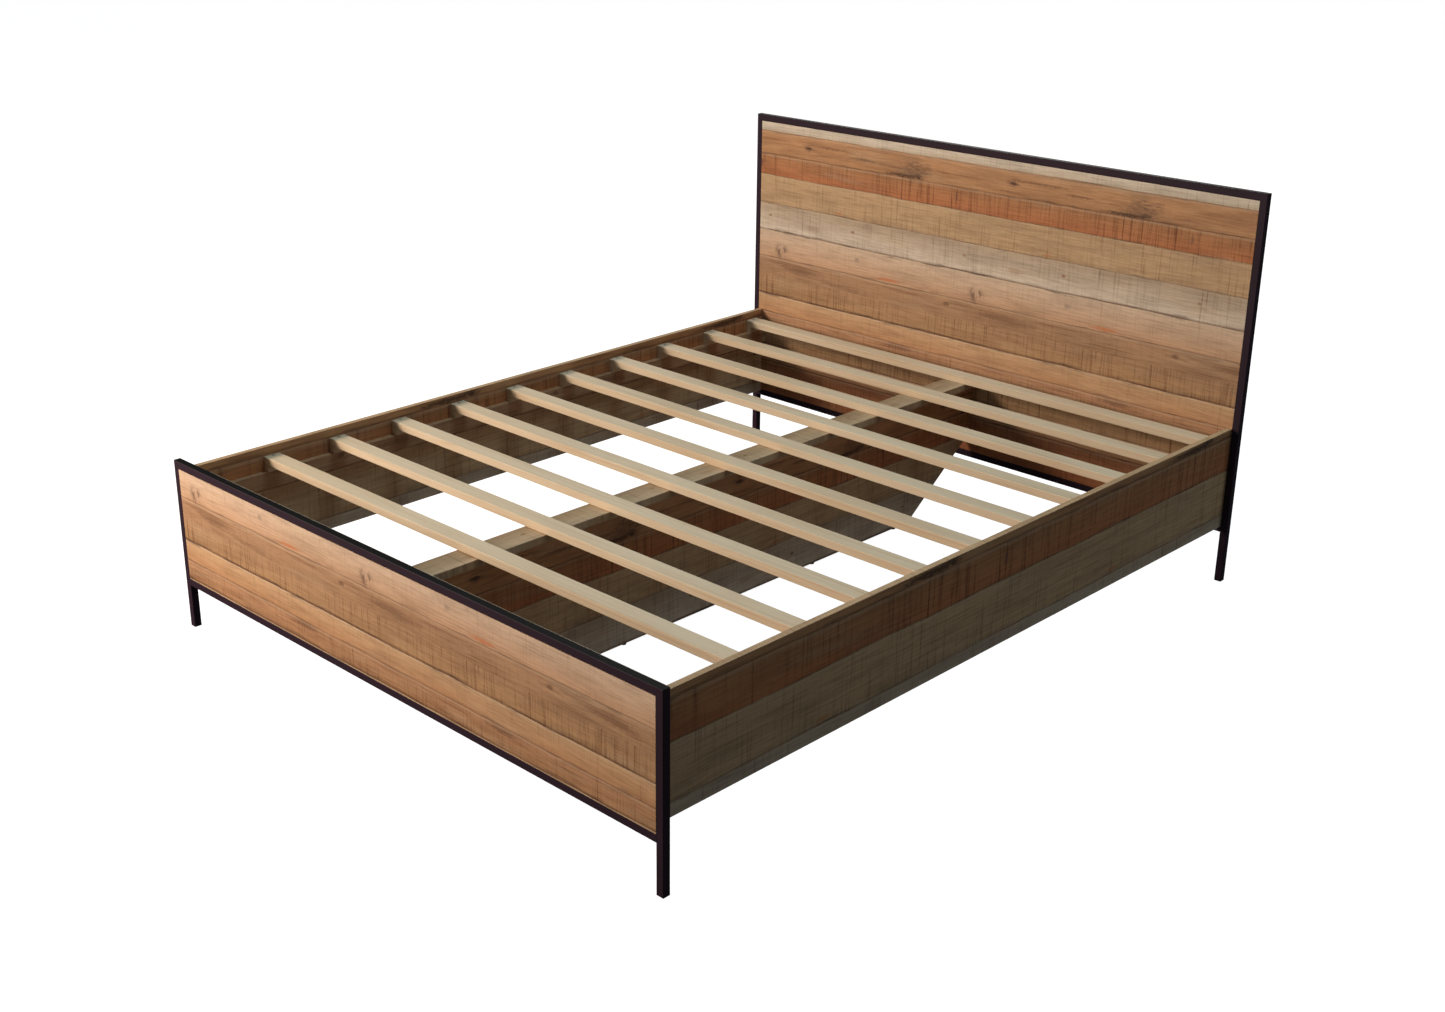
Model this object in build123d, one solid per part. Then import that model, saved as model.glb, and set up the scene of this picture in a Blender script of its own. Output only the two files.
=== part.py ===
from build123d import *
import os

# Double bed frame for a 1600 x 2000 mm mattress: a headboard and a footboard, each a square steel
# tube frame round a board, joined by two side rails, with a centre beam and slats across.
# Millimetres. +Z is up, +Y points to the headboard, and +X points right for someone at the foot.
# The origin is on the floor, under the middle of the frame.

# --- Mattress space -------------------------------------------------------------------------------
MATTRESS_WIDTH = 1600
MATTRESS_LENGTH = 2000
SIDE_CLEARANCE = 5              # mattress to each side rail
END_CLEARANCE = 23.5            # mattress to each end board

# --- Steel frames of the headboard and the footboard ----------------------------------------------
TUBE = 19                       # outer width of the square tube
TUBE_WALL = 1.5
TUBE_CORNER = 1.5               # outer corner radius
TUBE_BORE_CORNER = 0.5          # inner corner radius
HEADBOARD_HEIGHT = 1030
FOOTBOARD_HEIGHT = 440
HEADBOARD_LOWER_TUBE = 137      # underside of the lower tube above the floor
FOOTBOARD_LOWER_TUBE = 114
PANEL_GAP = 0.5                 # board to tube, at the top and at each side

# --- Boards ---------------------------------------------------------------------------------------
RAIL_THICKNESS = 16
RAIL_BOTTOM = 152
RAIL_HEIGHT = 270
BOARD_EDGE = 0.8                # rounding of a board's long edges

# --- Slats and what carries them ------------------------------------------------------------------
SLAT_COUNT = 11
SLAT_WIDTH = 45
SLAT_THICKNESS = 20
SLAT_TOP = 399
SLAT_END_GAP = 1                # slat to side rail
SLAT_EDGE = 1.5
HEAD_MARGIN = 50                # headboard to the middle of the nearest slat
FOOT_MARGIN = 34                # footboard to the middle of the nearest slat
LEDGER_DEPTH = 16
LEDGER_HEIGHT = 42
RISER_HEIGHT = 18               # block between a ledger and each slat end

# --- Centre beam: a plank on an upright board that stands on glides -------------------------------
PLANK_WIDTH = 74
PLANK_THICKNESS = 19
UPRIGHT_THICKNESS = 16
UPRIGHT_END_BOTTOM = 205        # height of the upright's lower corner at each end board
UPRIGHT_SLOPE_LENGTH = 266      # run of the sloping cut at each end
GLIDE_COUNT = 5
GLIDE_SPACING = 350
GLIDE_DIAMETER = 15
GLIDE_HEIGHT = 5
GLIDE_PIN_DIAMETER = 2.5
GLIDE_PIN_LENGTH = 12

# --- Foot plugs of the posts ----------------------------------------------------------------------
PLUG_FLANGE = 3
PLUG_DEPTH = 14

# --- Corner brackets ------------------------------------------------------------------------------
BRACKET_LEG = 40
BRACKET_THICKNESS = 3
BRACKET_HEIGHT = 17
BRACKET_HOLES = (14, 30)        # distances from the corner along each leg
RAIL_BRACKET_LEVELS = (201, 289.5)
UPRIGHT_BRACKET_LEVELS = {1: 289.5, -1: 250}    # staggered, so that screws from both faces miss

# --- Fasteners: shank diameter, head diameter, head height, length --------------------------------
SLAT_SCREW = (4.5, 8, 2.5, 70)
PLANK_SCREW = (4.5, 8, 2.5, 60)
LEDGER_SCREW = (3.5, 7, 2, 28)
BRACKET_SCREW = (4, 8, 2, 14)
PANEL_SCREW = (4, 8, 2.2, 30)
HOLE_CLEARANCE = 0.1            # added to a diameter for the hole that takes it
ACCESS_HOLE = 9                 # hole in a tube's outer wall, for the screwdriver
CAP_THICKNESS = 2.5
HEADBOARD_SIDE_SCREWS = 4
FOOTBOARD_SIDE_SCREWS = 2
LOWER_SCREWS = 6

# --- Derived places -------------------------------------------------------------------------------
RAIL_INNER_X = MATTRESS_WIDTH / 2 + SIDE_CLEARANCE
RAIL_OUTER_X = RAIL_INNER_X + RAIL_THICKNESS
HALF_WIDTH = RAIL_OUTER_X + TUBE
INNER_Y = MATTRESS_LENGTH / 2 + END_CLEARANCE
INNER_LENGTH = 2 * INNER_Y
SLAT_BOTTOM = SLAT_TOP - SLAT_THICKNESS
LEDGER_TOP = SLAT_BOTTOM - RISER_HEIGHT
LEDGER_MIDDLE_Z = LEDGER_TOP - LEDGER_HEIGHT / 2
PLANK_BOTTOM = SLAT_BOTTOM - PLANK_THICKNESS
SLAT_PITCH = (INNER_LENGTH - HEAD_MARGIN - FOOT_MARGIN) / (SLAT_COUNT - 1)
SLAT_YS = [FOOT_MARGIN - INNER_Y + SLAT_PITCH * index for index in range(SLAT_COUNT)]
GAP_YS = [y + SLAT_PITCH / 2 for y in SLAT_YS[:-1]]
SLAT_SCREW_X = RAIL_INNER_X - LEDGER_DEPTH / 2
GLIDE_YS = [GLIDE_SPACING * (index - (GLIDE_COUNT - 1) / 2) for index in range(GLIDE_COUNT)]
SIDES = {"left": -1, "right": 1}


# --- Helpers --------------------------------------------------------------------------------------
def block(x_range, y_range, z_range):
    """A box between the given lowest and highest coordinates."""
    ranges = (x_range, y_range, z_range)
    size = [high - low for low, high in ranges]
    middle = [(low + high) / 2 for low, high in ranges]
    return Pos(*middle) * Box(*size)


def mirrored(side, low, high):
    """The range low..high on the side +1, or its mirror image on the side -1."""
    return tuple(sorted((side * low, side * high)))


def towards(point, direction):
    """A place whose own +Z axis runs in the given direction."""
    return Plane(origin=point, z_dir=direction).location


def rounded_board(board, axis, radius=BOARD_EDGE):
    """The board with its long edges, the ones along the axis, eased."""
    return fillet(board.edges().filter_by(axis), radius)


def cut_all(solid, cutters):
    for cutter in cutters:
        solid = solid - cutter
    return solid


def export(shape, node):
    shape.label = node
    export_step(shape, f"parts/{node}.step")


def export_group(solids, node):
    export(Compound(children=list(solids)), node)


# --- Fasteners, all driven along their own +Z -----------------------------------------------------
def drive_recess(head_diameter, depth):
    """The cross in a screw head, cut down from z = 0."""
    bar = (head_diameter * 0.55, head_diameter * 0.13)
    half = depth / 2
    return Pos(0, 0, half) * (Box(bar[0], bar[1], depth) + Box(bar[1], bar[0], depth))


def countersunk_body(size, clearance=0.0):
    """A flat-headed screw without its recess, or the hole for it, its head's top at z = 0."""
    shank, head, head_height, length = size
    radius = (shank + clearance) / 2
    head_radius = (head + clearance) / 2
    top = Pos(0, 0, head_height / 2) * Cone(head_radius, radius, head_height)
    stem_length = length + clearance
    return top + Pos(0, 0, stem_length / 2) * Cylinder(radius, stem_length)


def countersunk_screw(size):
    return countersunk_body(size) - drive_recess(size[1], size[2] * 0.6)


def pan_screw(size):
    """A round-headed screw whose head rests on z = 0 and stands above it."""
    shank, head, head_height, length = size
    top = Pos(0, 0, -head_height / 2) * Cylinder(head / 2, head_height)
    top = fillet(top.edges().group_by(Axis.Z)[0], head_height * 0.4)
    stem = Pos(0, 0, length / 2) * Cylinder(shank / 2, length)
    recess = Pos(0, 0, -head_height) * drive_recess(head, head_height * 0.6)
    return top + stem - recess


def shank_hole(size):
    """The hole for a round-headed screw's shank."""
    shank, _, _, length = size
    depth = length + HOLE_CLEARANCE
    return Pos(0, 0, depth / 2) * Cylinder((shank + HOLE_CLEARANCE) / 2, depth)


# --- Steel end frames -----------------------------------------------------------------------------
def tube_along_z(low, high):
    outer = RectangleRounded(TUBE, TUBE, TUBE_CORNER)
    bore_width = TUBE - 2 * TUBE_WALL
    bore = RectangleRounded(bore_width, bore_width, TUBE_BORE_CORNER)
    return Pos(0, 0, low) * extrude(outer - bore, high - low)


def tube_along_x(half_length, z_middle):
    tube = Rot(0, 90, 0) * tube_along_z(-half_length, half_length)
    return Pos(0, 0, z_middle) * tube


def mitred_prism(points):
    """A prism through the tube's depth, with the given outline in X and Z."""
    outline = make_face(Polyline(*[(x, 0, z) for x, z in points], close=True))
    return extrude(outline, TUBE, both=True)


def post(side, height):
    """A post with its top mitred to meet the top tube."""
    inner = side * RAIL_OUTER_X
    outer = side * HALF_WIDTH
    keep = [(outer, 0), (outer, height), (inner, height - TUBE), (inner, 0)]
    tube = Pos((inner + outer) / 2, 0, 0) * tube_along_z(PLUG_FLANGE, height)
    return tube & mitred_prism(keep)


def top_tube(height):
    low = height - TUBE
    keep = [(-HALF_WIDTH, height), (HALF_WIDTH, height), (RAIL_OUTER_X, low), (-RAIL_OUTER_X, low)]
    return tube_along_x(HALF_WIDTH, height - TUBE / 2) & mitred_prism(keep)


def spread(low, high, count):
    """Evenly spaced values, half a step in from each end."""
    step = (high - low) / count
    return [low + step * (index + 0.5) for index in range(count)]


def panel_screw_places(height, lower_tube, side_count):
    """Where the board's screws seat on the tubes' inner walls, keyed by the tube that they pass."""
    panel_low = lower_tube + TUBE
    panel_high = height - TUBE
    seat_x = RAIL_OUTER_X + TUBE_WALL
    places = {}
    for name, side in SIDES.items():
        levels = spread(panel_low, panel_high, side_count)
        places[name] = [towards((side * seat_x, 0, z), (-side, 0, 0)) for z in levels]
    across = spread(-RAIL_OUTER_X, RAIL_OUTER_X, LOWER_SCREWS)
    places["lower"] = [towards((x, 0, panel_low - TUBE_WALL), (0, 0, 1)) for x in across]
    return places


def screw_passage(place):
    """A screw's hole through the tube's inner wall, with its access hole in the outer wall."""
    seat_to_outside = TUBE - TUBE_WALL
    radius = (ACCESS_HOLE + HOLE_CLEARANCE) / 2
    access = Pos(0, 0, TUBE_WALL * 1.5 - seat_to_outside) * Cylinder(radius, TUBE_WALL * 3)
    return place * (shank_hole(PANEL_SCREW) + access)


def access_cap(place):
    """The plug that closes an access hole, flush with the tube's outer face."""
    depth = TUBE - TUBE_WALL - CAP_THICKNESS / 2
    return place * Pos(0, 0, -depth) * Cylinder(ACCESS_HOLE / 2, CAP_THICKNESS)


def foot_plug():
    """A plastic plug: a flange under the tube and a stem inside it."""
    bore_width = TUBE - 2 * TUBE_WALL
    flange = extrude(RectangleRounded(TUBE, TUBE, TUBE_CORNER), PLUG_FLANGE)
    flange = chamfer(flange.edges().group_by(Axis.Z)[0], 0.6)
    stem = extrude(RectangleRounded(bore_width, bore_width, TUBE_BORE_CORNER), PLUG_DEPTH)
    return flange + Pos(0, 0, PLUG_FLANGE) * stem


def end_panel(height, lower_tube, bracket_holes):
    """The board in a tube frame, flush with both faces of the tubes, on the lower tube."""
    half_width = RAIL_OUTER_X - PANEL_GAP
    z_range = (lower_tube + TUBE, height - TUBE - PANEL_GAP)
    panel = block((-half_width, half_width), (-TUBE / 2, TUBE / 2), z_range)
    return cut_all(panel, bracket_holes)


def build_end_frame(name, end, height, lower_tube, side_count, bracket_holes):
    """One end of the bed, exported as its separate pieces. Returns its screws and caps."""
    middle = Pos(0, end * (INNER_Y + TUBE / 2), 0)
    places = panel_screw_places(height, lower_tube, side_count)
    passages = {tube: [screw_passage(place) for place in at] for tube, at in places.items()}

    for side_name, side in SIDES.items():
        solid = cut_all(post(side, height), passages[side_name])
        export(middle * solid, f"{name}_post_{side_name}")
        plug_place = middle * Pos(side * (RAIL_OUTER_X + TUBE / 2), 0, 0)
        export(plug_place * foot_plug(), f"{name}_foot_plug_{side_name}")

    export(middle * top_tube(height), f"{name}_top_tube")
    lower = tube_along_x(RAIL_OUTER_X, lower_tube + TUBE / 2)
    export(middle * cut_all(lower, passages["lower"]), f"{name}_lower_tube")

    every_place = [place for at in places.values() for place in at]
    local_bracket_holes = [middle.inverse() * hole for hole in bracket_holes]
    screw_holes = [place * shank_hole(PANEL_SCREW) for place in every_place]
    panel = end_panel(height, lower_tube, local_bracket_holes + screw_holes)
    export(middle * panel, f"{name}_panel")

    screws = [middle * place * pan_screw(PANEL_SCREW) for place in every_place]
    caps = [middle * access_cap(place) for place in every_place]
    return screws, caps


# --- Corner brackets ------------------------------------------------------------------------------
LEG_ANGLES = {(1, 1): 0, (-1, 1): 90, (-1, -1): 180, (1, -1): 270}


def bracket_places():
    """Every inside corner that has a bracket: four rail ends, then the upright's two ends."""
    places = []
    for end in (-1, 1):
        for side in SIDES.values():
            for level in RAIL_BRACKET_LEVELS:
                corner = Pos(side * RAIL_INNER_X, end * INNER_Y, level)
                places.append(corner * Rot(0, 0, LEG_ANGLES[(-side, -end)]))
            corner = Pos(side * UPRIGHT_THICKNESS / 2, end * INNER_Y, UPRIGHT_BRACKET_LEVELS[side])
            places.append(corner * Rot(0, 0, LEG_ANGLES[(side, -end)]))
    return places


def bracket_screw_places():
    """A bracket's screws, on its two legs along +X and +Y."""
    outside = BRACKET_THICKNESS
    along_x = [towards((reach, outside, 0), (0, -1, 0)) for reach in BRACKET_HOLES]
    along_y = [towards((outside, reach, 0), (-1, 0, 0)) for reach in BRACKET_HOLES]
    return along_x + along_y


def corner_bracket():
    """A steel angle with its corner at the origin and legs along +X and +Y."""
    half_height = BRACKET_HEIGHT / 2
    z_range = (-half_height, half_height)
    leg_x = block((0, BRACKET_LEG), (0, BRACKET_THICKNESS), z_range)
    leg_y = block((0, BRACKET_THICKNESS), (0, BRACKET_LEG), z_range)
    holes = [place * shank_hole(BRACKET_SCREW) for place in bracket_screw_places()]
    return cut_all(leg_x + leg_y, holes)


# --- Rails, ledgers, risers and slats -------------------------------------------------------------
def ledger_screw_places(side):
    face_x = side * (RAIL_INNER_X - LEDGER_DEPTH)
    return [towards((face_x, y, LEDGER_MIDDLE_Z), (side, 0, 0)) for y in GAP_YS]


def slat_screw_places(side):
    return [towards((side * SLAT_SCREW_X, y, SLAT_TOP), (0, 0, -1)) for y in SLAT_YS]


def side_rail(side, holes):
    x_range = mirrored(side, RAIL_INNER_X, RAIL_OUTER_X)
    z_range = (RAIL_BOTTOM, RAIL_BOTTOM + RAIL_HEIGHT)
    rail = rounded_board(block(x_range, (-INNER_Y, INNER_Y), z_range), Axis.Y)
    return cut_all(rail, holes)


def ledger(side, holes):
    x_range = mirrored(side, RAIL_INNER_X - LEDGER_DEPTH, RAIL_INNER_X)
    z_range = (LEDGER_TOP - LEDGER_HEIGHT, LEDGER_TOP)
    strip = block(x_range, (-INNER_Y, INNER_Y), z_range)
    return cut_all(rounded_board(strip, Axis.Y), holes)


def riser(side, y, hole):
    x_range = mirrored(side, RAIL_INNER_X - LEDGER_DEPTH, RAIL_INNER_X)
    y_range = (y - SLAT_WIDTH / 2, y + SLAT_WIDTH / 2)
    return block(x_range, y_range, (LEDGER_TOP, SLAT_BOTTOM)) - hole


def slat(y, holes):
    half_length = RAIL_INNER_X - SLAT_END_GAP
    y_range = (y - SLAT_WIDTH / 2, y + SLAT_WIDTH / 2)
    bar = block((-half_length, half_length), y_range, (SLAT_BOTTOM, SLAT_TOP))
    return cut_all(rounded_board(bar, Axis.X, SLAT_EDGE), holes)


def countersunk_holes(places, size):
    return [place * countersunk_body(size, HOLE_CLEARANCE) for place in places]


def build_sides(bracket_holes):
    """Each side's rail, ledger and risers. Returns the ledgers' screws."""
    ledger_screws = []
    for name, side in SIDES.items():
        places = ledger_screw_places(side)
        holes = countersunk_holes(places, LEDGER_SCREW)
        slat_holes = countersunk_holes(slat_screw_places(side), SLAT_SCREW)
        export(side_rail(side, holes + bracket_holes[side]), f"side_rail_{name}")
        export(ledger(side, holes + slat_holes), f"ledger_{name}")
        risers = [riser(side, y, hole) for y, hole in zip(SLAT_YS, slat_holes)]
        export_group(risers, f"slat_risers_{name}")
        ledger_screws += [place * countersunk_screw(LEDGER_SCREW) for place in places]
    return ledger_screws


def build_slats():
    """The slats, each its own piece. Returns their screws."""
    places = [slat_screw_places(side) for side in SIDES.values()]
    for index, y in enumerate(SLAT_YS):
        holes = countersunk_holes([at[index] for at in places], SLAT_SCREW)
        export(slat(y, holes), f"slat_{index + 1:02d}")
    return [place * countersunk_screw(SLAT_SCREW) for at in places for place in at]


# --- Centre beam ----------------------------------------------------------------------------------
def upright_outline():
    """The upright's side view in Y and Z, cut back at a slope under each end board."""
    slope_y = INNER_Y - UPRIGHT_SLOPE_LENGTH
    half = [(slope_y, GLIDE_HEIGHT), (INNER_Y, UPRIGHT_END_BOTTOM), (INNER_Y, PLANK_BOTTOM)]
    other_half = [(-y, z) for y, z in reversed(half)]
    return make_face(Polyline(*[(0, y, z) for y, z in half + other_half], close=True))


def glide(y):
    """A glide nailed up into the upright's lower edge, on the floor at the given place."""
    foot = Pos(0, y, GLIDE_HEIGHT / 2) * Cylinder(GLIDE_DIAMETER / 2, GLIDE_HEIGHT)
    foot = chamfer(foot.edges().group_by(Axis.Z)[0], 1)
    return foot + glide_pin(y, 0)


def glide_pin(y, clearance):
    length = GLIDE_PIN_LENGTH + clearance
    pin = Cylinder((GLIDE_PIN_DIAMETER + clearance) / 2, length)
    return Pos(0, y, GLIDE_HEIGHT + length / 2) * pin


def build_centre_beam(bracket_holes):
    """The plank, the upright and its glides. Returns the plank's screws."""
    places = [towards((0, y, SLAT_BOTTOM), (0, 0, -1)) for y in SLAT_YS[::2]]
    holes = countersunk_holes(places, PLANK_SCREW)
    half_width = PLANK_WIDTH / 2
    plank = block((-half_width, half_width), (-INNER_Y, INNER_Y), (PLANK_BOTTOM, SLAT_BOTTOM))
    export(cut_all(rounded_board(plank, Axis.Y), holes), "centre_plank")

    upright = extrude(upright_outline(), UPRIGHT_THICKNESS / 2, both=True)
    pin_holes = [glide_pin(y, HOLE_CLEARANCE) for y in GLIDE_YS]
    export(cut_all(upright, holes + pin_holes + bracket_holes), "centre_upright")
    export_group([glide(y) for y in GLIDE_YS], "centre_glides")
    return [place * countersunk_screw(PLANK_SCREW) for place in places]


# --- The whole bed --------------------------------------------------------------------------------
def near(hole, x=None, y=None):
    """Whether a bracket screw's hole starts in the piece whose face is at the given x or y."""
    centre = hole.center()
    value, target = (centre.X, x) if x is not None else (centre.Y, y)
    return abs(value - target) < BRACKET_SCREW[3]


def build_bed():
    corners = bracket_places()
    screw_places = [corner * place for corner in corners for place in bracket_screw_places()]
    holes = [place * shank_hole(BRACKET_SCREW) for place in screw_places]
    end_holes = {end: [hole for hole in holes if near(hole, y=end * INNER_Y)] for end in (-1, 1)}
    rail_holes = {
        side: [hole for hole in holes if near(hole, x=side * RAIL_INNER_X)]
        for side in SIDES.values()
    }
    upright_holes = [hole for hole in holes if near(hole, x=0)]

    ends = [
        ("headboard", 1, HEADBOARD_HEIGHT, HEADBOARD_LOWER_TUBE, HEADBOARD_SIDE_SCREWS),
        ("footboard", -1, FOOTBOARD_HEIGHT, FOOTBOARD_LOWER_TUBE, FOOTBOARD_SIDE_SCREWS),
    ]
    panel_screws = []
    caps = []
    for name, end, height, lower_tube, side_count in ends:
        found = build_end_frame(name, end, height, lower_tube, side_count, end_holes[end])
        panel_screws += found[0]
        caps += found[1]

    export_group(build_sides(rail_holes), "ledger_screws")
    export_group(build_slats(), "slat_screws")
    export_group(build_centre_beam(upright_holes), "plank_screws")
    export_group([corner * corner_bracket() for corner in corners], "corner_brackets")
    export_group([place * pan_screw(BRACKET_SCREW) for place in screw_places], "bracket_screws")
    export_group(panel_screws, "panel_screws")
    export_group(caps, "access_caps")


os.makedirs("parts", exist_ok=True)
build_bed()
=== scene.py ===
from math import radians
from typing import NamedTuple

import bpy
from mathutils import Matrix, Vector


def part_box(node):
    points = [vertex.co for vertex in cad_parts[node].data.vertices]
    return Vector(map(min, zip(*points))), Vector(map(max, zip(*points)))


# Every shape is the CAD model's own. This script gives the pieces their materials, and sets up the
# camera and the studio.
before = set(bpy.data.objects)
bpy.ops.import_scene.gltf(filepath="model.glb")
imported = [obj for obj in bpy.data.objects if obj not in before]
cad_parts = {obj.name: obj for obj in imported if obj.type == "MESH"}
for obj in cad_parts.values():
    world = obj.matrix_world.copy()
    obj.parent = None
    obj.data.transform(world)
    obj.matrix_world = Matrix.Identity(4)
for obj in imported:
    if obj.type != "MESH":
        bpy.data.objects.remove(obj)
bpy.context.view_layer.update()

X, Y, Z = range(3)

# A Mix node has sockets for every data type. These are the ones it uses for colours.
MIX_FACTOR, MIX_A, MIX_B = 0, 6, 7
MIX_RESULT = 2


# --- Node helpers ---------------------------------------------------------------------------------
class Graph:
    """Short calls for building one node tree. A value is a number, or the socket it comes from."""

    def __init__(self, tree):
        self.tree = tree

    def node(self, kind, **settings):
        made = self.tree.nodes.new(kind)
        for name, value in settings.items():
            setattr(made, name, value)
        return made

    def feed(self, socket, value):
        """Links a socket, or sets its own value."""
        if isinstance(value, bpy.types.NodeSocket):
            self.tree.links.new(value, socket)
        elif value is not None:
            socket.default_value = value

    def math(self, operation, a, b=None, c=None, clamp=False):
        made = self.node("ShaderNodeMath", operation=operation, use_clamp=clamp)
        for socket, value in zip(made.inputs, (a, b, c)):
            self.feed(socket, value)
        return made.outputs[0]

    def add(self, a, b):
        return self.math("ADD", a, b)

    def subtract(self, a, b):
        return self.math("SUBTRACT", a, b)

    def scale(self, a, b):
        return self.math("MULTIPLY", a, b)

    def scale_add(self, a, b, c):
        """a times b, plus c."""
        return self.math("MULTIPLY_ADD", a, b, c)

    def total(self, first, *rest):
        return self.add(first, self.total(*rest)) if rest else first

    def vector(self, x, y, z=0.0):
        made = self.node("ShaderNodeCombineXYZ")
        for socket, value in zip(made.inputs, (x, y, z)):
            self.feed(socket, value)
        return made.outputs[0]

    def split(self, vector):
        made = self.node("ShaderNodeSeparateXYZ")
        self.feed(made.inputs[0], vector)
        return made.outputs

    def channels(self, colour):
        made = self.node("ShaderNodeSeparateColor")
        self.feed(made.inputs[0], colour)
        return made.outputs

    def noise(self, vector, detail, roughness=0.55):
        """Noise from 0 to 1, with features about one unit of the given vector in size."""
        made = self.node("ShaderNodeTexNoise", noise_dimensions="3D")
        self.feed(made.inputs["Vector"], vector)
        made.inputs["Scale"].default_value = 1.0
        made.inputs["Detail"].default_value = detail
        made.inputs["Roughness"].default_value = roughness
        return made.outputs[0]

    def step(self, value, low, high, out_low=0.0, out_high=1.0):
        """A smooth change from out_low to out_high, as the value goes from low to high."""
        made = self.node("ShaderNodeMapRange", interpolation_type="SMOOTHSTEP")
        for name, setting in (("Value", value), ("From Min", low), ("From Max", high)):
            self.feed(made.inputs[name], setting)
        made.inputs["To Min"].default_value = out_low
        made.inputs["To Max"].default_value = out_high
        return made.outputs[0]

    def mix(self, factor, a, b, blend="MIX"):
        made = self.node("ShaderNodeMix", data_type="RGBA", blend_type=blend)
        self.feed(made.inputs[MIX_FACTOR], factor)
        self.feed(made.inputs[MIX_A], rgba(a))
        self.feed(made.inputs[MIX_B], rgba(b))
        return made.outputs[MIX_RESULT]

    def multiply(self, colour, tint):
        return self.mix(1.0, colour, tint, "MULTIPLY")

    def grey(self, value):
        """A number as a grey colour."""
        made = self.node("ShaderNodeCombineColor")
        for socket in made.inputs:
            self.feed(socket, value)
        return made.outputs[0]

    def ramp(self, factor, stops, interpolation="LINEAR"):
        made = self.node("ShaderNodeValToRGB")
        made.color_ramp.interpolation = interpolation
        elements = made.color_ramp.elements
        while len(elements) < len(stops):
            elements.new(1.0)
        for element, (position, colour) in zip(elements, stops):
            element.position = position
            element.color = rgba(colour)
        self.feed(made.inputs[0], factor)
        return made.outputs[0]

    def bump(self, height, distance):
        made = self.node("ShaderNodeBump")
        self.feed(made.inputs["Height"], height)
        made.inputs["Distance"].default_value = distance
        return made.outputs[0]


def rgba(colour):
    """A colour with its alpha. A socket, or a colour that has an alpha, stays as it is."""
    if isinstance(colour, bpy.types.NodeSocket) or len(colour) == 4:
        return colour
    return (*colour, 1.0)


def srgb(red, green, blue):
    """A display colour, 0 to 255, as the linear colour that the shader takes."""
    def linear(value):
        value /= 255
        return value / 12.92 if value <= 0.04045 else ((value + 0.055) / 1.055) ** 2.4
    return (linear(red), linear(green), linear(blue))


def new_material(name):
    """A material with its graph and its Principled shader."""
    material = bpy.data.materials.new(name)
    material.use_nodes = True
    shader = material.node_tree.nodes["Principled BSDF"]
    return material, Graph(material.node_tree), shader


def assign(material, *nodes):
    for name in nodes:
        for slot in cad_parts[name].material_slots:
            slot.material = material


def object_point(graph):
    """The surface point in the part's own frame, in metres."""
    return graph.split(graph.node("ShaderNodeTexCoord").outputs["Object"])


def object_normal(graph):
    """The surface's direction in the part's own frame."""
    return graph.split(graph.node("ShaderNodeTexCoord").outputs["Normal"])


# --- Printed plank foil ---------------------------------------------------------------------------
# The boards are faced with one printed pattern of mixed planks. It is described in its own
# coordinates, in metres: u along the planks, and v down from the pattern's top edge.
class Plank(NamedTuple):
    height: float
    top_colour: tuple
    bottom_colour: tuple
    saw: float  # Strength of its saw marks.
    streaks: float  # Strength of its lengthways grain.
    seam: float  # Darkness of the seam under it.


PLANKS = [
    Plank(0.026, srgb(233, 220, 200), srgb(220, 205, 182), 0.6, 0.3, 0.5),
    Plank(0.070, srgb(206, 156, 112), srgb(196, 146, 102), 0.15, 1.0, 0.6),
    Plank(0.062, srgb(186, 134, 90), srgb(198, 126, 80), 1.2, 0.4, 0.5),
    Plank(0.088, srgb(208, 174, 134), srgb(204, 170, 130), 0.7, 0.5, 0.5),
    Plank(0.084, srgb(194, 172, 146), srgb(232, 217, 197), 0.5, 0.3, 1.0),
    Plank(0.084, srgb(228, 202, 176), srgb(213, 170, 134), 0.35, 0.3, 0.6),
    Plank(0.054, srgb(194, 153, 118), srgb(184, 144, 108), 0.35, 1.1, 0.0),
    Plank(0.064, srgb(186, 146, 110), srgb(189, 148, 106), 1.1, 0.35, 1.0),
    Plank(0.058, srgb(212, 174, 134), srgb(199, 150, 108), 0.35, 0.3, 0.6),
    Plank(0.052, srgb(190, 144, 108), srgb(188, 142, 102), 0.8, 1.0, 0.8),
    Plank(0.055, srgb(196, 158, 116), srgb(190, 150, 108), 1.0, 0.5, 0.7),
    Plank(0.055, srgb(210, 172, 136), srgb(196, 148, 108), 0.3, 0.4, 0.7),
    Plank(0.103, srgb(178, 122, 84), srgb(186, 116, 74), 1.0, 0.6, 0.4),
]
FOIL_HEIGHT = sum(plank.height for plank in PLANKS)
FOIL_REPEAT = 0.735  # The marks and knots come back after this length.
PLANK_BLEND = 0.0006  # Over this width, one plank's colour gives way to the next.
# Each plank cuts its grain from its own place in the noise, and the share spreads these evenly.
PLANK_SHARE = 0.381966
PLANK_SHIFT = 37.0

# How far a seam of full strength darkens the plank above it and the one below it, in metres.
SEAM_REACH_UP = 0.0058
SEAM_REACH_DOWN = SEAM_REACH_UP * 0.6
SEAM_COVER = 0.85
SEAM_COLOUR = srgb(88, 56, 42)
# Below the seam lies a worn, lighter edge, and dirt gathers on both sides. BELOW and REACH are in
# metres.
WORN_EDGE_BELOW = 0.004
WORN_EDGE_REACH = 0.006
WORN_EDGE_COVER = 0.35
WORN_EDGE_COLOUR = srgb(226, 200, 168)
DIRT_REACH = 0.012
DIRT_COLOUR = srgb(66, 46, 38)

# The planks' edges wander in slow and quick waves: features per metre along u and v, and height in
# metres.
WAVES = [(5.0, 9.0, 0.006), (45.0, 20.0, 0.0016)]


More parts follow.
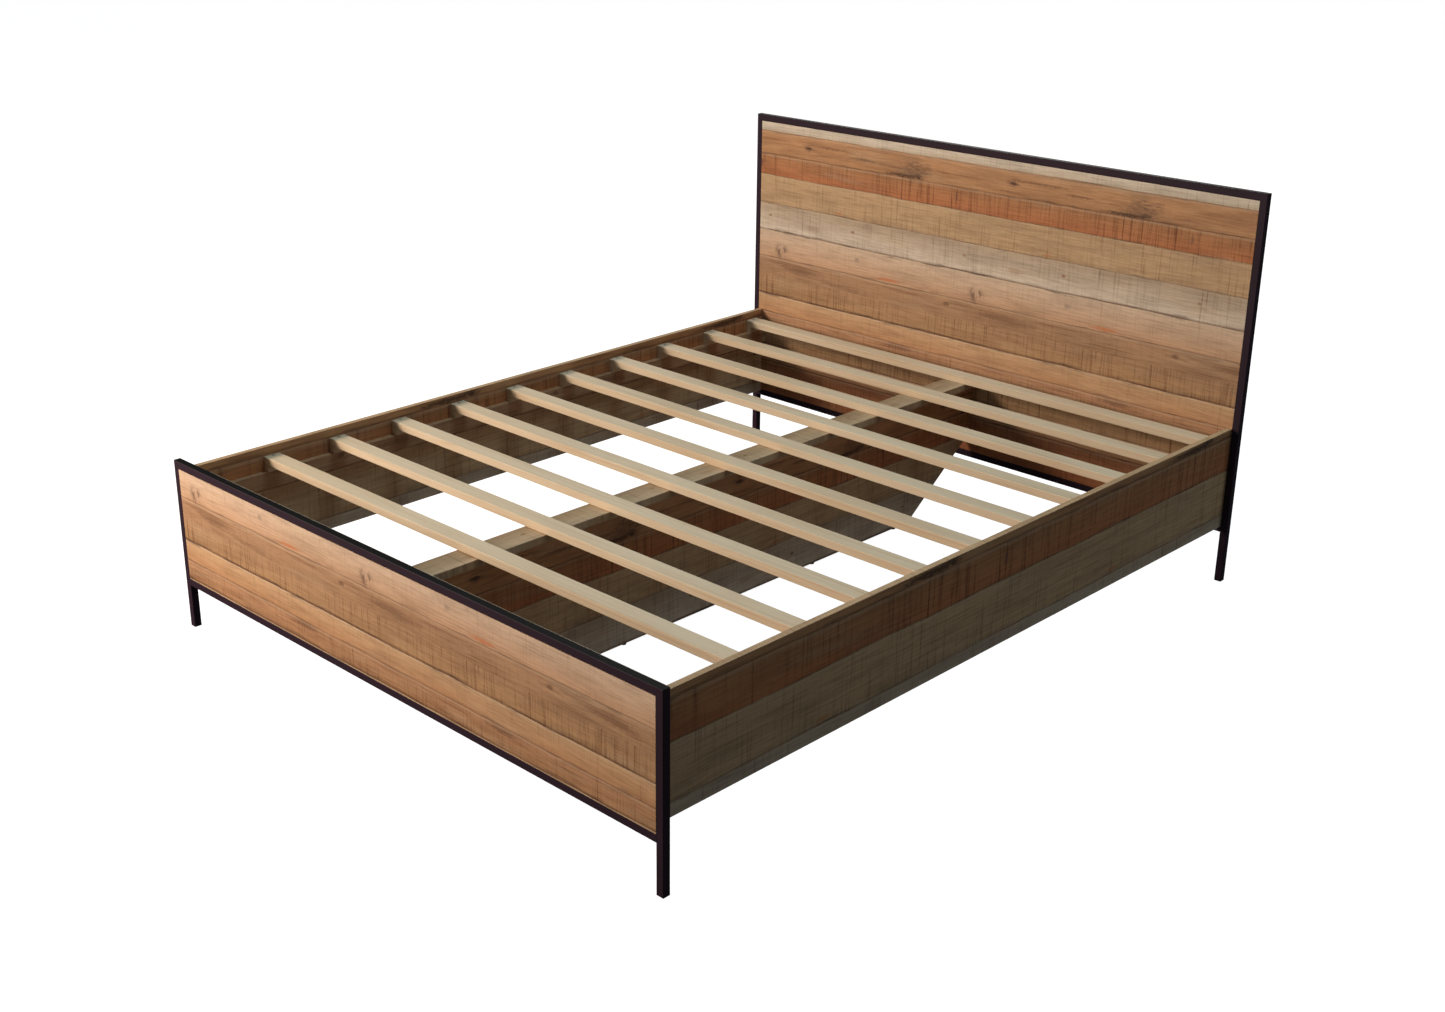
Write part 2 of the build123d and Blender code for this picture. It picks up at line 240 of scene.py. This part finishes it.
class Grain(NamedTuple):
    """A layer of noise, drawn out along the planks or across them."""
    u_rate: float  # Features per metre along a plank.
    v_rate: float  # Features per metre across it.
    detail: float
    roughness: float
    layer: float  # Where in the noise it is cut, so that no two layers look alike.
    rise: tuple = (0.0, 1.0)  # The noise values between which it comes in.
    amount: tuple = (0.0, 1.0)  # Its amount below and above them.


GRAINS = {
    "clouds": Grain(3.2, 20.0, 3.0, 0.55, 1.0, (0.50, 0.75), (0.0, 0.35)),
    "dull": Grain(5.0, 26.0, 4.0, 0.55, 14.0, (0.42, 0.66), (0.0, 0.6)),
    "tone": Grain(4.0, 34.0, 4.0, 0.55, 2.0, (0.40, 0.72)),
    "streaks": Grain(5.0, 120.0, 5.0, 0.65, 5.0, (0.50, 0.70)),
    "cracks": Grain(9.0, 330.0, 4.0, 0.6, 12.0, (0.62, 0.70)),
    "fibre": Grain(10.0, 230.0, 6.0, 0.7, 3.0, (0.32, 0.68)),
    "fine_fibre": Grain(40.0, 900.0, 3.0, 0.6, 4.0, (0.30, 0.70)),
    "saw_patch": Grain(6.0, 10.0, 2.0, 0.55, 6.0, (0.34, 0.58), (0.4, 1.0)),
    "thin_cut": Grain(190.0, 5.0, 3.0, 0.6, 7.0, (0.54, 0.64)),
    "wide_cut": Grain(75.0, 5.0, 3.0, 0.65, 8.0, (0.54, 0.68)),
    "deep_cut": Grain(110.0, 2.5, 2.0, 0.6, 13.0, (0.63, 0.70)),
    "fray": Grain(90.0, 260.0, 4.0, 0.7, 9.0),
    "worn": Grain(8.0, 5.0, 4.0, 0.55, 10.0, (0.30, 0.65), (0.45, 1.0)),
    "blots": Grain(9.0, 90.0, 5.0, 0.65, 11.0, (0.50, 0.66), (0.0, 0.8)),
}

# How strongly each layer darkens the wood.
LENGTHWAYS_SHADE = {"tone": 0.24, "streaks": 0.42, "cracks": 0.52}
CUT_SHADE = {"thin_cut": 0.44, "wide_cut": 0.34, "deep_cut": 0.7}
FIBRE_SHADE = 0.42
FINE_FIBRE_SHADE = 0.20
FIBRE_OFFSET = -0.10  # Lets the fibres lighten the wood as well.
SHADE_TINT = (0.42, 0.33, 0.27)
CLOUD_COLOUR = srgb(214, 186, 152)
DULL_TINT = (0.74, 0.72, 0.72)

# Gloss and relief of the foil. Each height is a share of the bump distance, which is in metres.
FOIL_ROUGHNESS = 0.50
FOIL_ROUGHNESS_SPREAD = 0.22
FOIL_BUMP = 0.0004
FIBRE_HEIGHT = 0.5
FINE_FIBRE_HEIGHT = 0.2
CUT_DEPTH = 0.8
SEAM_DEPTH = 1.6

# Marks that come back with each repeat of the pattern: u, v, half length, half height, colour,
# strength.
MARKS = [
    (0.190, 0.060, 0.010, 0.004, srgb(70, 42, 30), 0.85),
    (0.585, 0.078, 0.045, 0.018, srgb(96, 68, 50), 0.45),
    (0.545, 0.090, 0.050, 0.004, srgb(60, 40, 30), 0.75),
    (0.600, 0.086, 0.012, 0.006, srgb(60, 40, 30), 0.6),
    (0.580, 0.040, 0.030, 0.009, srgb(160, 124, 90), 0.6),
    (0.400, 0.066, 0.035, 0.003, srgb(86, 52, 36), 0.5),
    (0.280, 0.050, 0.070, 0.003, srgb(96, 60, 40), 0.5),
    (0.510, 0.405, 0.035, 0.004, srgb(206, 120, 72), 0.7),
    (0.390, 0.366, 0.008, 0.006, srgb(140, 124, 112), 0.5),
    (0.370, 0.285, 0.005, 0.003, srgb(150, 104, 66), 0.9),
    (0.042, 0.284, 0.005, 0.003, srgb(156, 108, 70), 0.8),
    (0.215, 0.300, 0.020, 0.008, srgb(172, 140, 112), 0.5),
    (0.315, 0.238, 0.012, 0.003, srgb(190, 124, 78), 0.6),
    (0.000, 0.124, 0.006, 0.010, srgb(100, 66, 58), 0.6),
    (0.725, 0.435, 0.010, 0.005, srgb(94, 66, 50), 0.6),
    (0.175, 0.440, 0.060, 0.008, srgb(120, 84, 60), 0.5),
    (0.560, 0.600, 0.040, 0.006, srgb(104, 72, 54), 0.5),
]
# A mark fades over this range of distance from its middle, where 1 is its outline. Fine noise makes
# the outline ragged, and shifts the marks up and down by the drift, in metres.
MARK_FADE = (0.5, 1.7)
MARK_FRAY = 3.4
MARK_DRIFT = 0.006

# Knots: u, v, half length, half height, dark figures per metre along u and v, strength, and the u
# past which the knot no longer comes back, if there is one.
KNOTS = [
    (0.090, 0.390, 0.032, 0.030, 66.0, 32.0, 0.75, 1.2),
    (0.600, 0.062, 0.060, 0.032, 30.0, 130.0, 0.6, None),
    (0.195, 0.058, 0.034, 0.016, 35.0, 150.0, 0.5, None),
]
KNOT_FADE = (0.25, 1.1)
KNOT_END = 0.05  # Length over which the last of a knot dies out.
# Its dark figures are noise that rises between two values.
KNOT_LAYER = 36.2
KNOT_DETAIL = 3.0
KNOT_ROUGHNESS = 0.6
KNOT_RISE = (0.44, 0.60)
KNOT_COLOUR = srgb(92, 66, 56)


def plank_edges():
    """Each plank's top and bottom as shares of the foil's height."""
    edges = [0.0]
    for plank in PLANKS:
        edges.append(edges[-1] + plank.height / FOIL_HEIGHT)
    return list(zip(edges[:-1], edges[1:]))


def plank_colour(graph, place):
    """Each plank's own colour, shading from its top to its bottom."""
    blend = PLANK_BLEND / FOIL_HEIGHT
    stops = []
    for (top, bottom), plank in zip(plank_edges(), PLANKS):
        stops.append((top + blend / 2, plank.top_colour))
        stops.append((bottom - blend / 2, plank.bottom_colour))
    return graph.ramp(place, stops)


def plank_values(graph, place):
    """Per plank: saw marks, streaks, and a number that sets its own grain apart."""
    stops = []
    for index, ((top, _), plank) in enumerate(zip(plank_edges(), PLANKS)):
        apart = (index * PLANK_SHARE) % 1.0
        stops.append((top, (plank.saw, plank.streaks, apart)))
    return graph.channels(graph.ramp(place, stops, "CONSTANT"))


def seam_shade(graph, place):
    """The dark line where planks meet, the worn edge under it, and the dirty zone round it."""
    stops = []
    above = 0.0
    for (top, bottom), plank in zip(plank_edges(), PLANKS):
        stops.append((top, (top, bottom, plank.seam, above)))
        above = plank.seam
    colour = graph.ramp(place, stops, "CONSTANT")
    top, bottom, below = graph.channels(colour)
    above = colour.node.outputs["Alpha"]
    under_top = graph.scale(graph.subtract(place, top), FOIL_HEIGHT)
    over_bottom = graph.scale(graph.subtract(bottom, place), FOIL_HEIGHT)

    def near(distance, reach, amount):
        return graph.scale(graph.step(distance, 0.0, reach, 1.0, 0.0), amount)

    dark = graph.math(
        "MAXIMUM",
        near(over_bottom, graph.scale(below, SEAM_REACH_UP), below),
        near(under_top, graph.scale(above, SEAM_REACH_DOWN), above),
    )
    from_worn_edge = graph.math("ABSOLUTE", graph.add(under_top, -WORN_EDGE_BELOW))
    worn_edge = near(from_worn_edge, WORN_EDGE_REACH, above)
    dirty = graph.add(near(under_top, DIRT_REACH, above), near(over_bottom, DIRT_REACH, below))
    return dark, worn_edge, dirty


def add_marks(graph, colour, u, v, fray):
    """Lays the repeating nail marks, stains and knots over the colour."""
    repeat = graph.math("WRAP", u, FOIL_REPEAT, 0.0)
    v = graph.scale_add(fray, MARK_DRIFT, v)

    def reach(mark_u, mark_v, half_length, half_height):
        """Distance from a mark's middle, which is 1 at its outline."""
        across = graph.scale(graph.add(repeat, -mark_u), 1 / half_length)
        down = graph.scale(graph.add(v, -mark_v), 1 / half_height)
        return graph.math("SQRT", graph.add(graph.scale(across, across), graph.scale(down, down)))

    for *place, tint, strength in MARKS:
        frayed = graph.scale_add(fray, MARK_FRAY, reach(*place))
        colour = graph.mix(graph.step(frayed, *MARK_FADE, strength, 0.0), colour, tint)
    for index, (*place, u_rate, v_rate, strength, last) in enumerate(KNOTS):
        zone = graph.step(reach(*place), *KNOT_FADE, strength, 0.0)
        if last:
            zone = graph.scale(zone, graph.step(u, last, last + KNOT_END, 1.0, 0.0))
        spots = graph.vector(
            graph.scale(repeat, u_rate), graph.scale(v, v_rate), KNOT_LAYER + index
        )
        figure = graph.step(graph.noise(spots, KNOT_DETAIL, KNOT_ROUGHNESS), *KNOT_RISE)
        colour = graph.mix(graph.scale(zone, figure), colour, KNOT_COLOUR)
    return colour


def make_foil_group():
    """Foil coordinates in; colour, height and roughness out."""
    group = bpy.data.node_groups.new("plank_foil", "ShaderNodeTree")
    for name, in_out, kind in (
        ("u", "INPUT", "NodeSocketFloat"),
        ("v", "INPUT", "NodeSocketFloat"),
        ("colour", "OUTPUT", "NodeSocketColor"),
        ("height", "OUTPUT", "NodeSocketFloat"),
        ("roughness", "OUTPUT", "NodeSocketFloat"),
    ):
        group.interface.new_socket(name, in_out=in_out, socket_type=kind)
    graph = Graph(group)
    given = graph.node("NodeGroupInput")
    u, v = given.outputs["u"], given.outputs["v"]

    def wave(u_rate, v_rate, height):
        place = graph.vector(graph.scale(u, u_rate), graph.scale(v, v_rate))
        return graph.scale_add(graph.noise(place, detail=2.0), height, -height / 2)

    wander = graph.total(*(wave(*settings) for settings in WAVES))
    place = graph.scale(graph.add(v, wander), 1 / FOIL_HEIGHT)
    saw, streaks, apart = plank_values(graph, place)
    shift = graph.scale(apart, PLANK_SHIFT)

    def noise(name):
        grain = GRAINS[name]
        along = graph.scale_add(u, grain.u_rate, shift)
        across = graph.scale(v, grain.v_rate)
        return graph.noise(graph.vector(along, across, grain.layer), grain.detail, grain.roughness)

    def amount(name, value=None):
        """A layer's amount, from its own noise unless that is given."""
        grain = GRAINS[name]
        value = noise(name) if value is None else value
        return graph.step(value, *grain.rise, *grain.amount)

    def weighed(shades):
        return graph.total(*(graph.scale(amount(name), shade) for name, shade in shades.items()))

    colour = plank_colour(graph, place)
    colour = graph.mix(amount("clouds"), colour, CLOUD_COLOUR)
    colour = graph.mix(amount("dull"), colour, graph.multiply(colour, DULL_TINT))

    # Lengthways grain on the planks that have it, and fibre on all of them.
    fibre = noise("fibre")
    fine_fibre = noise("fine_fibre")
    shade = graph.scale(weighed(LENGTHWAYS_SHADE), streaks)
    for name, value, strength in (
        ("fibre", fibre, FIBRE_SHADE),
        ("fine_fibre", fine_fibre, FINE_FIBRE_SHADE),
    ):
        shade = graph.add(shade, graph.scale_add(amount(name, value), strength, FIBRE_OFFSET))

    # Saw marks across the grain, in patches.
    cuts = graph.scale(weighed(CUT_SHADE), graph.scale(saw, amount("saw_patch")))
    shade = graph.math("ADD", shade, cuts, clamp=True)
    colour = graph.mix(shade, colour, graph.multiply(colour, SHADE_TINT))

    fray = graph.add(noise("fray"), -0.5)
    colour = add_marks(graph, colour, u, v, fray)

    dark_seam, worn_edge, dirty = seam_shade(graph, place)
    colour = graph.mix(graph.scale(worn_edge, WORN_EDGE_COVER), colour, WORN_EDGE_COLOUR)
    seam = graph.scale(graph.scale(dark_seam, amount("worn")), SEAM_COVER)
    colour = graph.mix(seam, colour, SEAM_COLOUR)
    colour = graph.mix(graph.scale(amount("blots"), dirty), colour, DIRT_COLOUR)

    height = graph.scale_add(fibre, FIBRE_HEIGHT, graph.scale(fine_fibre, FINE_FIBRE_HEIGHT))
    height = graph.subtract(height, graph.scale(cuts, CUT_DEPTH))
    height = graph.subtract(height, graph.scale(seam, SEAM_DEPTH))

    result = graph.node("NodeGroupOutput")
    graph.feed(result.inputs["colour"], colour)
    graph.feed(result.inputs["height"], height)
    graph.feed(
        result.inputs["roughness"], graph.scale_add(fibre, FOIL_ROUGHNESS_SPREAD, FOIL_ROUGHNESS)
    )
    return group


FOIL_GROUP = make_foil_group()
LEVEL_NORMAL = 0.7  # A face counts as level where the upright part of its normal is above this.
EDGE_BAND = 0.02  # Height of the band of foil that the level edges of a board repeat.


def finish_foil(graph, shader, u, v, tint=(1, 1, 1)):
    """Adds the foil to a board's shader."""
    foil = graph.node("ShaderNodeGroup", node_tree=FOIL_GROUP)
    graph.feed(foil.inputs["u"], u)
    graph.feed(foil.inputs["v"], v)
    graph.feed(shader.inputs["Base Color"], graph.multiply(foil.outputs["colour"], tint))
    graph.feed(shader.inputs["Roughness"], foil.outputs["roughness"])
    graph.feed(shader.inputs["Normal"], graph.bump(foil.outputs["height"], FOIL_BUMP))
    shader.inputs["Specular IOR Level"].default_value = 0.3


def foil_material(name, along, u_low, v_top, foil_v=0.0, stretch=1.0, edge_v=0.2):
    """Foil on an upright board whose planks run along the given axis.

    The foil's u starts at u_low on that axis, and its v is foil_v at the height v_top. stretch
    enlarges the print. edge_v is the foil's v on the level edges.
    """
    material, graph, shader = new_material(name)
    point = object_point(graph)
    u = graph.scale(graph.add(point[along], -u_low), 1 / stretch)
    v = graph.scale_add(graph.subtract(v_top, point[Z]), 1 / stretch, foil_v)
    upright = graph.math("ABSOLUTE", object_normal(graph)[Z])
    level = graph.math("GREATER_THAN", upright, LEVEL_NORMAL)
    across = point[X if along == Y else Y]
    edge = graph.add(graph.math("WRAP", across, EDGE_BAND, 0.0), edge_v)
    v = graph.add(graph.scale(level, graph.subtract(edge, v)), v)
    finish_foil(graph, shader, u, v)
    return material


# The offsets and stretches put the pattern where the photo shows it on each board.
panel_low, panel_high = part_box("headboard_panel")
HEAD_FOIL = foil_material("headboard_planks", X, panel_low.x, panel_high.z)
assign(HEAD_FOIL, "headboard_panel")

foot_low, foot_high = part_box("footboard_panel")
FOOT_FOIL = foil_material(
    "footboard_planks", X, foot_low.x - 0.015, foot_high.z, foil_v=0.340, stretch=0.935, edge_v=0.36
)
assign(FOOT_FOIL, "footboard_panel")

rail_low, rail_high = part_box("side_rail_right")
RAIL_FOIL = foil_material("rail_planks", Y, rail_low.y, rail_high.z, foil_v=0.082, stretch=1.445)
assign(RAIL_FOIL, "side_rail_left", "side_rail_right")

ledger_low, ledger_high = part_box("ledger_left")
LEDGER_FOIL = foil_material(
    "ledger_planks", Y, ledger_low.y - 0.3, ledger_high.z, foil_v=0.425, edge_v=0.48
)
assign(LEDGER_FOIL, "ledger_left", "ledger_right")

upright_low, upright_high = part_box("centre_upright")
UPRIGHT_FOIL = foil_material(
    "upright_planks", Y, upright_low.y, upright_high.z, foil_v=0.026, stretch=1.16
)
assign(UPRIGHT_FOIL, "centre_upright")


def plank_top_material():
    """Foil on the flat centre plank, whose planks run along it."""
    middle_v = 0.288  # The foil's v on the bed's centre line.
    tint = (0.76, 0.66, 0.52)
    material, graph, shader = new_material("centre_plank_foil")
    point = object_point(graph)
    u = graph.add(point[Y], -upright_low.y)
    v = graph.add(point[X], middle_v)
    finish_foil(graph, shader, u, v, tint)
    return material


assign(plank_top_material(), "centre_plank")


# --- Pine -----------------------------------------------------------------------------------------
def pine_material():
    """Planed softwood with its grain along X."""
    ring_rate = 150.0  # Year rings per metre.
    ring_bend = 0.03  # How far the rings wander, in metres.
    bump_distance = 0.0003
    material, graph, shader = new_material("pine")
    x, y, z = object_point(graph)

    def grain(along, across, detail, roughness=0.55):
        """Noise, with its features per metre along the wood's grain and across it."""
        place = graph.vector(graph.scale(x, along), graph.scale(y, across), graph.scale(z, across))
        return graph.noise(place, detail, roughness)

    bend = graph.scale_add(grain(1.6, 6.0, 2.0), ring_bend, -ring_bend / 2)
    bent = graph.scale(graph.add(y, bend), ring_rate)
    rings_place = graph.vector(graph.scale(x, 1.2), bent, graph.scale(z, ring_rate))
    rings = graph.noise(rings_place, 3.0, 0.5)
    fibre = grain(30.0, 900.0, 4.0, 0.6)
    cloud = graph.step(grain(2.2, 14.0, 3.0), 0.35, 0.7)
    colour = graph.mix(cloud, srgb(224, 205, 176), srgb(215, 192, 160))
    colour = graph.mix(graph.step(rings, 0.5, 0.72, 0.0, 0.42), colour, srgb(190, 158, 120))
    colour = graph.multiply(colour, graph.grey(graph.scale_add(fibre, 0.24, 0.88)))
    height = graph.add(fibre, graph.scale(rings, 0.6))
    graph.feed(shader.inputs["Base Color"], colour)
    graph.feed(shader.inputs["Roughness"], graph.scale_add(fibre, 0.2, 0.55))
    graph.feed(shader.inputs["Normal"], graph.bump(height, bump_distance))
    shader.inputs["Specular IOR Level"].default_value = 0.25
    return material


SLATS = [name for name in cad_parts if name.startswith("slat_") and name[5:].isdigit()]
assign(pine_material(), *SLATS, "slat_risers_left", "slat_risers_right")


# --- Steel and plastic ----------------------------------------------------------------------------
PAINT_TONE_RATE = 9.0  # Changes of tone per metre.
PAINT_ROUGHNESS_SPREAD = 0.2
PAINT_BUMP = 0.00012
# Painted shade: faces whose normal's upright part rises through this range get the darker top
# colour.
PAINTED_TOP_SHADE_NORMAL = (0.5, 0.9)  # The upright part of its normal between which a face starts to look up.


def textured_paint(name, light, dark, roughness, grain_rate, metallic=0.0, top=None):
    """A painted or moulded surface: a fine grain, slow changes of tone, and uneven gloss.

    Faces that look up take the colour top, if it is given, as painted shade on the tops.
    """
    material, graph, shader = new_material(name)
    point = graph.vector(*object_point(graph))

    def speckle(rate, detail):
        scaled = graph.node("ShaderNodeVectorMath", operation="SCALE")
        graph.feed(scaled.inputs[0], point)
        scaled.inputs["Scale"].default_value = rate
        return graph.noise(scaled.outputs[0], detail)

    grain = speckle(grain_rate, 3.0)
    colour = graph.mix(speckle(PAINT_TONE_RATE, 4.0), dark, light)
    # Painted shade: upward faces take the darker colour top for how the light falls on them, not
    # for a second paint.
    if top:
        painted_top_shade = graph.step(object_normal(graph)[Z], *PAINTED_TOP_SHADE_NORMAL)
        colour = graph.mix(painted_top_shade, colour, top)
    graph.feed(shader.inputs["Base Color"], colour)
    graph.feed(
        shader.inputs["Roughness"], graph.scale_add(grain, PAINT_ROUGHNESS_SPREAD, roughness)
    )
    graph.feed(shader.inputs["Normal"], graph.bump(grain, PAINT_BUMP))
    shader.inputs["Metallic"].default_value = metallic
    shader.inputs["Specular IOR Level"].default_value = 0.2
    return material


# The near-black top colour is painted shade on the tubes' upward faces; the paint itself is the
# same all round.
STEEL = textured_paint(
    "black_steel", srgb(48, 29, 44), srgb(38, 23, 35), 0.5, 900.0, top=srgb(6, 5, 6)
)
PLASTIC = textured_paint("black_plastic", srgb(34, 32, 34), srgb(26, 25, 27), 0.5, 1400.0)
ZINC = textured_paint("zinc_screw", srgb(196, 194, 186), srgb(170, 168, 162), 0.3, 1600.0, 1.0)
TUBES = ("post_left", "post_right", "top_tube", "lower_tube")
for end in ("headboard", "footboard"):
    assign(STEEL, *(f"{end}_{tube}" for tube in TUBES))
    assign(PLASTIC, f"{end}_foot_plug_left", f"{end}_foot_plug_right")
assign(STEEL, "corner_brackets", "bracket_screws", "panel_screws")
assign(PLASTIC, "access_caps", "centre_glides")
assign(ZINC, "ledger_screws", "plank_screws", "slat_screws")


# --- Camera ---------------------------------------------------------------------------------------
# Fitted to the corners of the headboard, the footboard, the rails and the feet in the photo.
PHOTO_WIDTH = 1445
PHOTO_HEIGHT = 1012
FOCAL_PIXELS = 1779.5
OPTICAL_CENTRE = (667.8, 497.7)
CAMERA_PLACE = Vector((2.8584, -3.0332, 1.9227))
CAMERA_AIM = Vector((-0.66076, 0.65566, -0.36539))
SENSOR = 36.0

camera_data = bpy.data.cameras.new("camera")
camera_data.sensor_width = SENSOR
camera_data.lens = FOCAL_PIXELS / PHOTO_WIDTH * SENSOR
camera_data.shift_x = (PHOTO_WIDTH / 2 - OPTICAL_CENTRE[0]) / PHOTO_WIDTH
camera_data.shift_y = (OPTICAL_CENTRE[1] - PHOTO_HEIGHT / 2) / PHOTO_WIDTH
camera = bpy.data.objects.new("camera", camera_data)
bpy.context.scene.collection.objects.link(camera)
camera.location = CAMERA_PLACE
camera.rotation_euler = CAMERA_AIM.to_track_quat("-Z", "Y").to_euler()
bpy.context.scene.camera = camera


# --- Studio ---------------------------------------------------------------------------------------
# Area lights: name, place, target, size in metres, power in watts, colour.
LIGHTS = [
    ("key", (-4.6, -4.6, 3.6), (0, 0.2, 0.4), 1.4, 245, (1.0, 0.85, 0.72)),
    ("front_key", (-1.9, -3.3, 1.25), (-0.2, 0.2, 0.4), 1.0, 78, (1.0, 0.85, 0.73)),
    ("top_fill", (0.6, 0.6, 5.4), (0, 0.2, 0), 1.8, 92, (0.64, 0.88, 1.0)),
    ("side_fill", (4.5, 3.0, 2.0), (0.84, 1.0, 0.3), 2.0, 18, (0.85, 0.96, 1.0)),
    ("back_fill", (-2.6, 5.0, 2.4), (0, 1.0, 0.5), 2.5, 70, (1.0, 0.94, 0.87)),
]
WORLD_COLOUR = (0.9, 0.97, 1.0)
WORLD_STRENGTH = 0.07


def area_light(name, place, target, size, power, colour):
    data = bpy.data.lights.new(name, "AREA")
    data.size = size
    data.energy = power
    data.color = colour
    light = bpy.data.objects.new(name, data)
    light.location = place
    light.rotation_euler = (Vector(target) - Vector(place)).to_track_quat("-Z", "Y").to_euler()
    bpy.context.scene.collection.objects.link(light)


for settings in LIGHTS:
    area_light(*settings)

world = bpy.data.worlds.new("studio")
world.use_nodes = True
sky = world.node_tree.nodes["Background"]
sky.inputs["Color"].default_value = rgba(WORLD_COLOUR)
sky.inputs["Strength"].default_value = WORLD_STRENGTH
bpy.context.scene.world = world
bpy.context.scene.view_settings.view_transform = "Standard"

FLOOR_RADIUS = 15.0
CURVE_RADIUS = 4.0
WALL_TOP = 16.0
BACKDROP_SIDES = 64
BACKDROP_GLOW = 0.97
# Points of a quarter circle: how far out and how far up, for a radius of 1.
QUARTER_CIRCLE = ((0.26, 0.03), (0.5, 0.13), (0.71, 0.29), (0.87, 0.5), (0.97, 0.74), (1.0, 1.0))


def backdrop_mesh():
    """A floor that curves up into a wall all round."""
    profile = [(0.0, 0.0), (FLOOR_RADIUS, 0.0)]
    for out, up in QUARTER_CIRCLE:
        profile.append((FLOOR_RADIUS + CURVE_RADIUS * out, CURVE_RADIUS * up))
    profile.append((FLOOR_RADIUS + CURVE_RADIUS, WALL_TOP))
    vertices, faces = [], []
    for index in range(BACKDROP_SIDES):
        turn = Matrix.Rotation(radians(360 / BACKDROP_SIDES * index), 3, "Z")
        vertices += [turn @ Vector((reach, 0, rise)) for reach, rise in profile]
    count = len(profile)
    for index in range(BACKDROP_SIDES):
        here, there = index * count, (index + 1) % BACKDROP_SIDES * count
        for row in range(count - 1):
            faces.append((here + row, here + row + 1, there + row + 1, there + row))
    mesh = bpy.data.meshes.new("backdrop")
    mesh.from_pydata(vertices, [], faces)
    mesh.validate()
    return mesh


def studio_backdrop():
    """A pale floor and wall, as in the photo, that neither light the bed nor take its shadow."""
    mesh = backdrop_mesh()
    backdrop = bpy.data.objects.new("backdrop", mesh)
    bpy.context.scene.collection.objects.link(backdrop)
    backdrop.visible_diffuse = False
    backdrop.visible_glossy = False
    backdrop.visible_shadow = False
    material, _, shader = new_material("backdrop")
    shader.inputs["Base Color"].default_value = rgba((0.35, 0.35, 0.35))
    shader.inputs["Roughness"].default_value = 0.9
    shader.inputs["Specular IOR Level"].default_value = 0.0
    shader.inputs["Emission Color"].default_value = rgba((1, 1, 1))
    shader.inputs["Emission Strength"].default_value = BACKDROP_GLOW
    mesh.materials.append(material)


studio_backdrop()
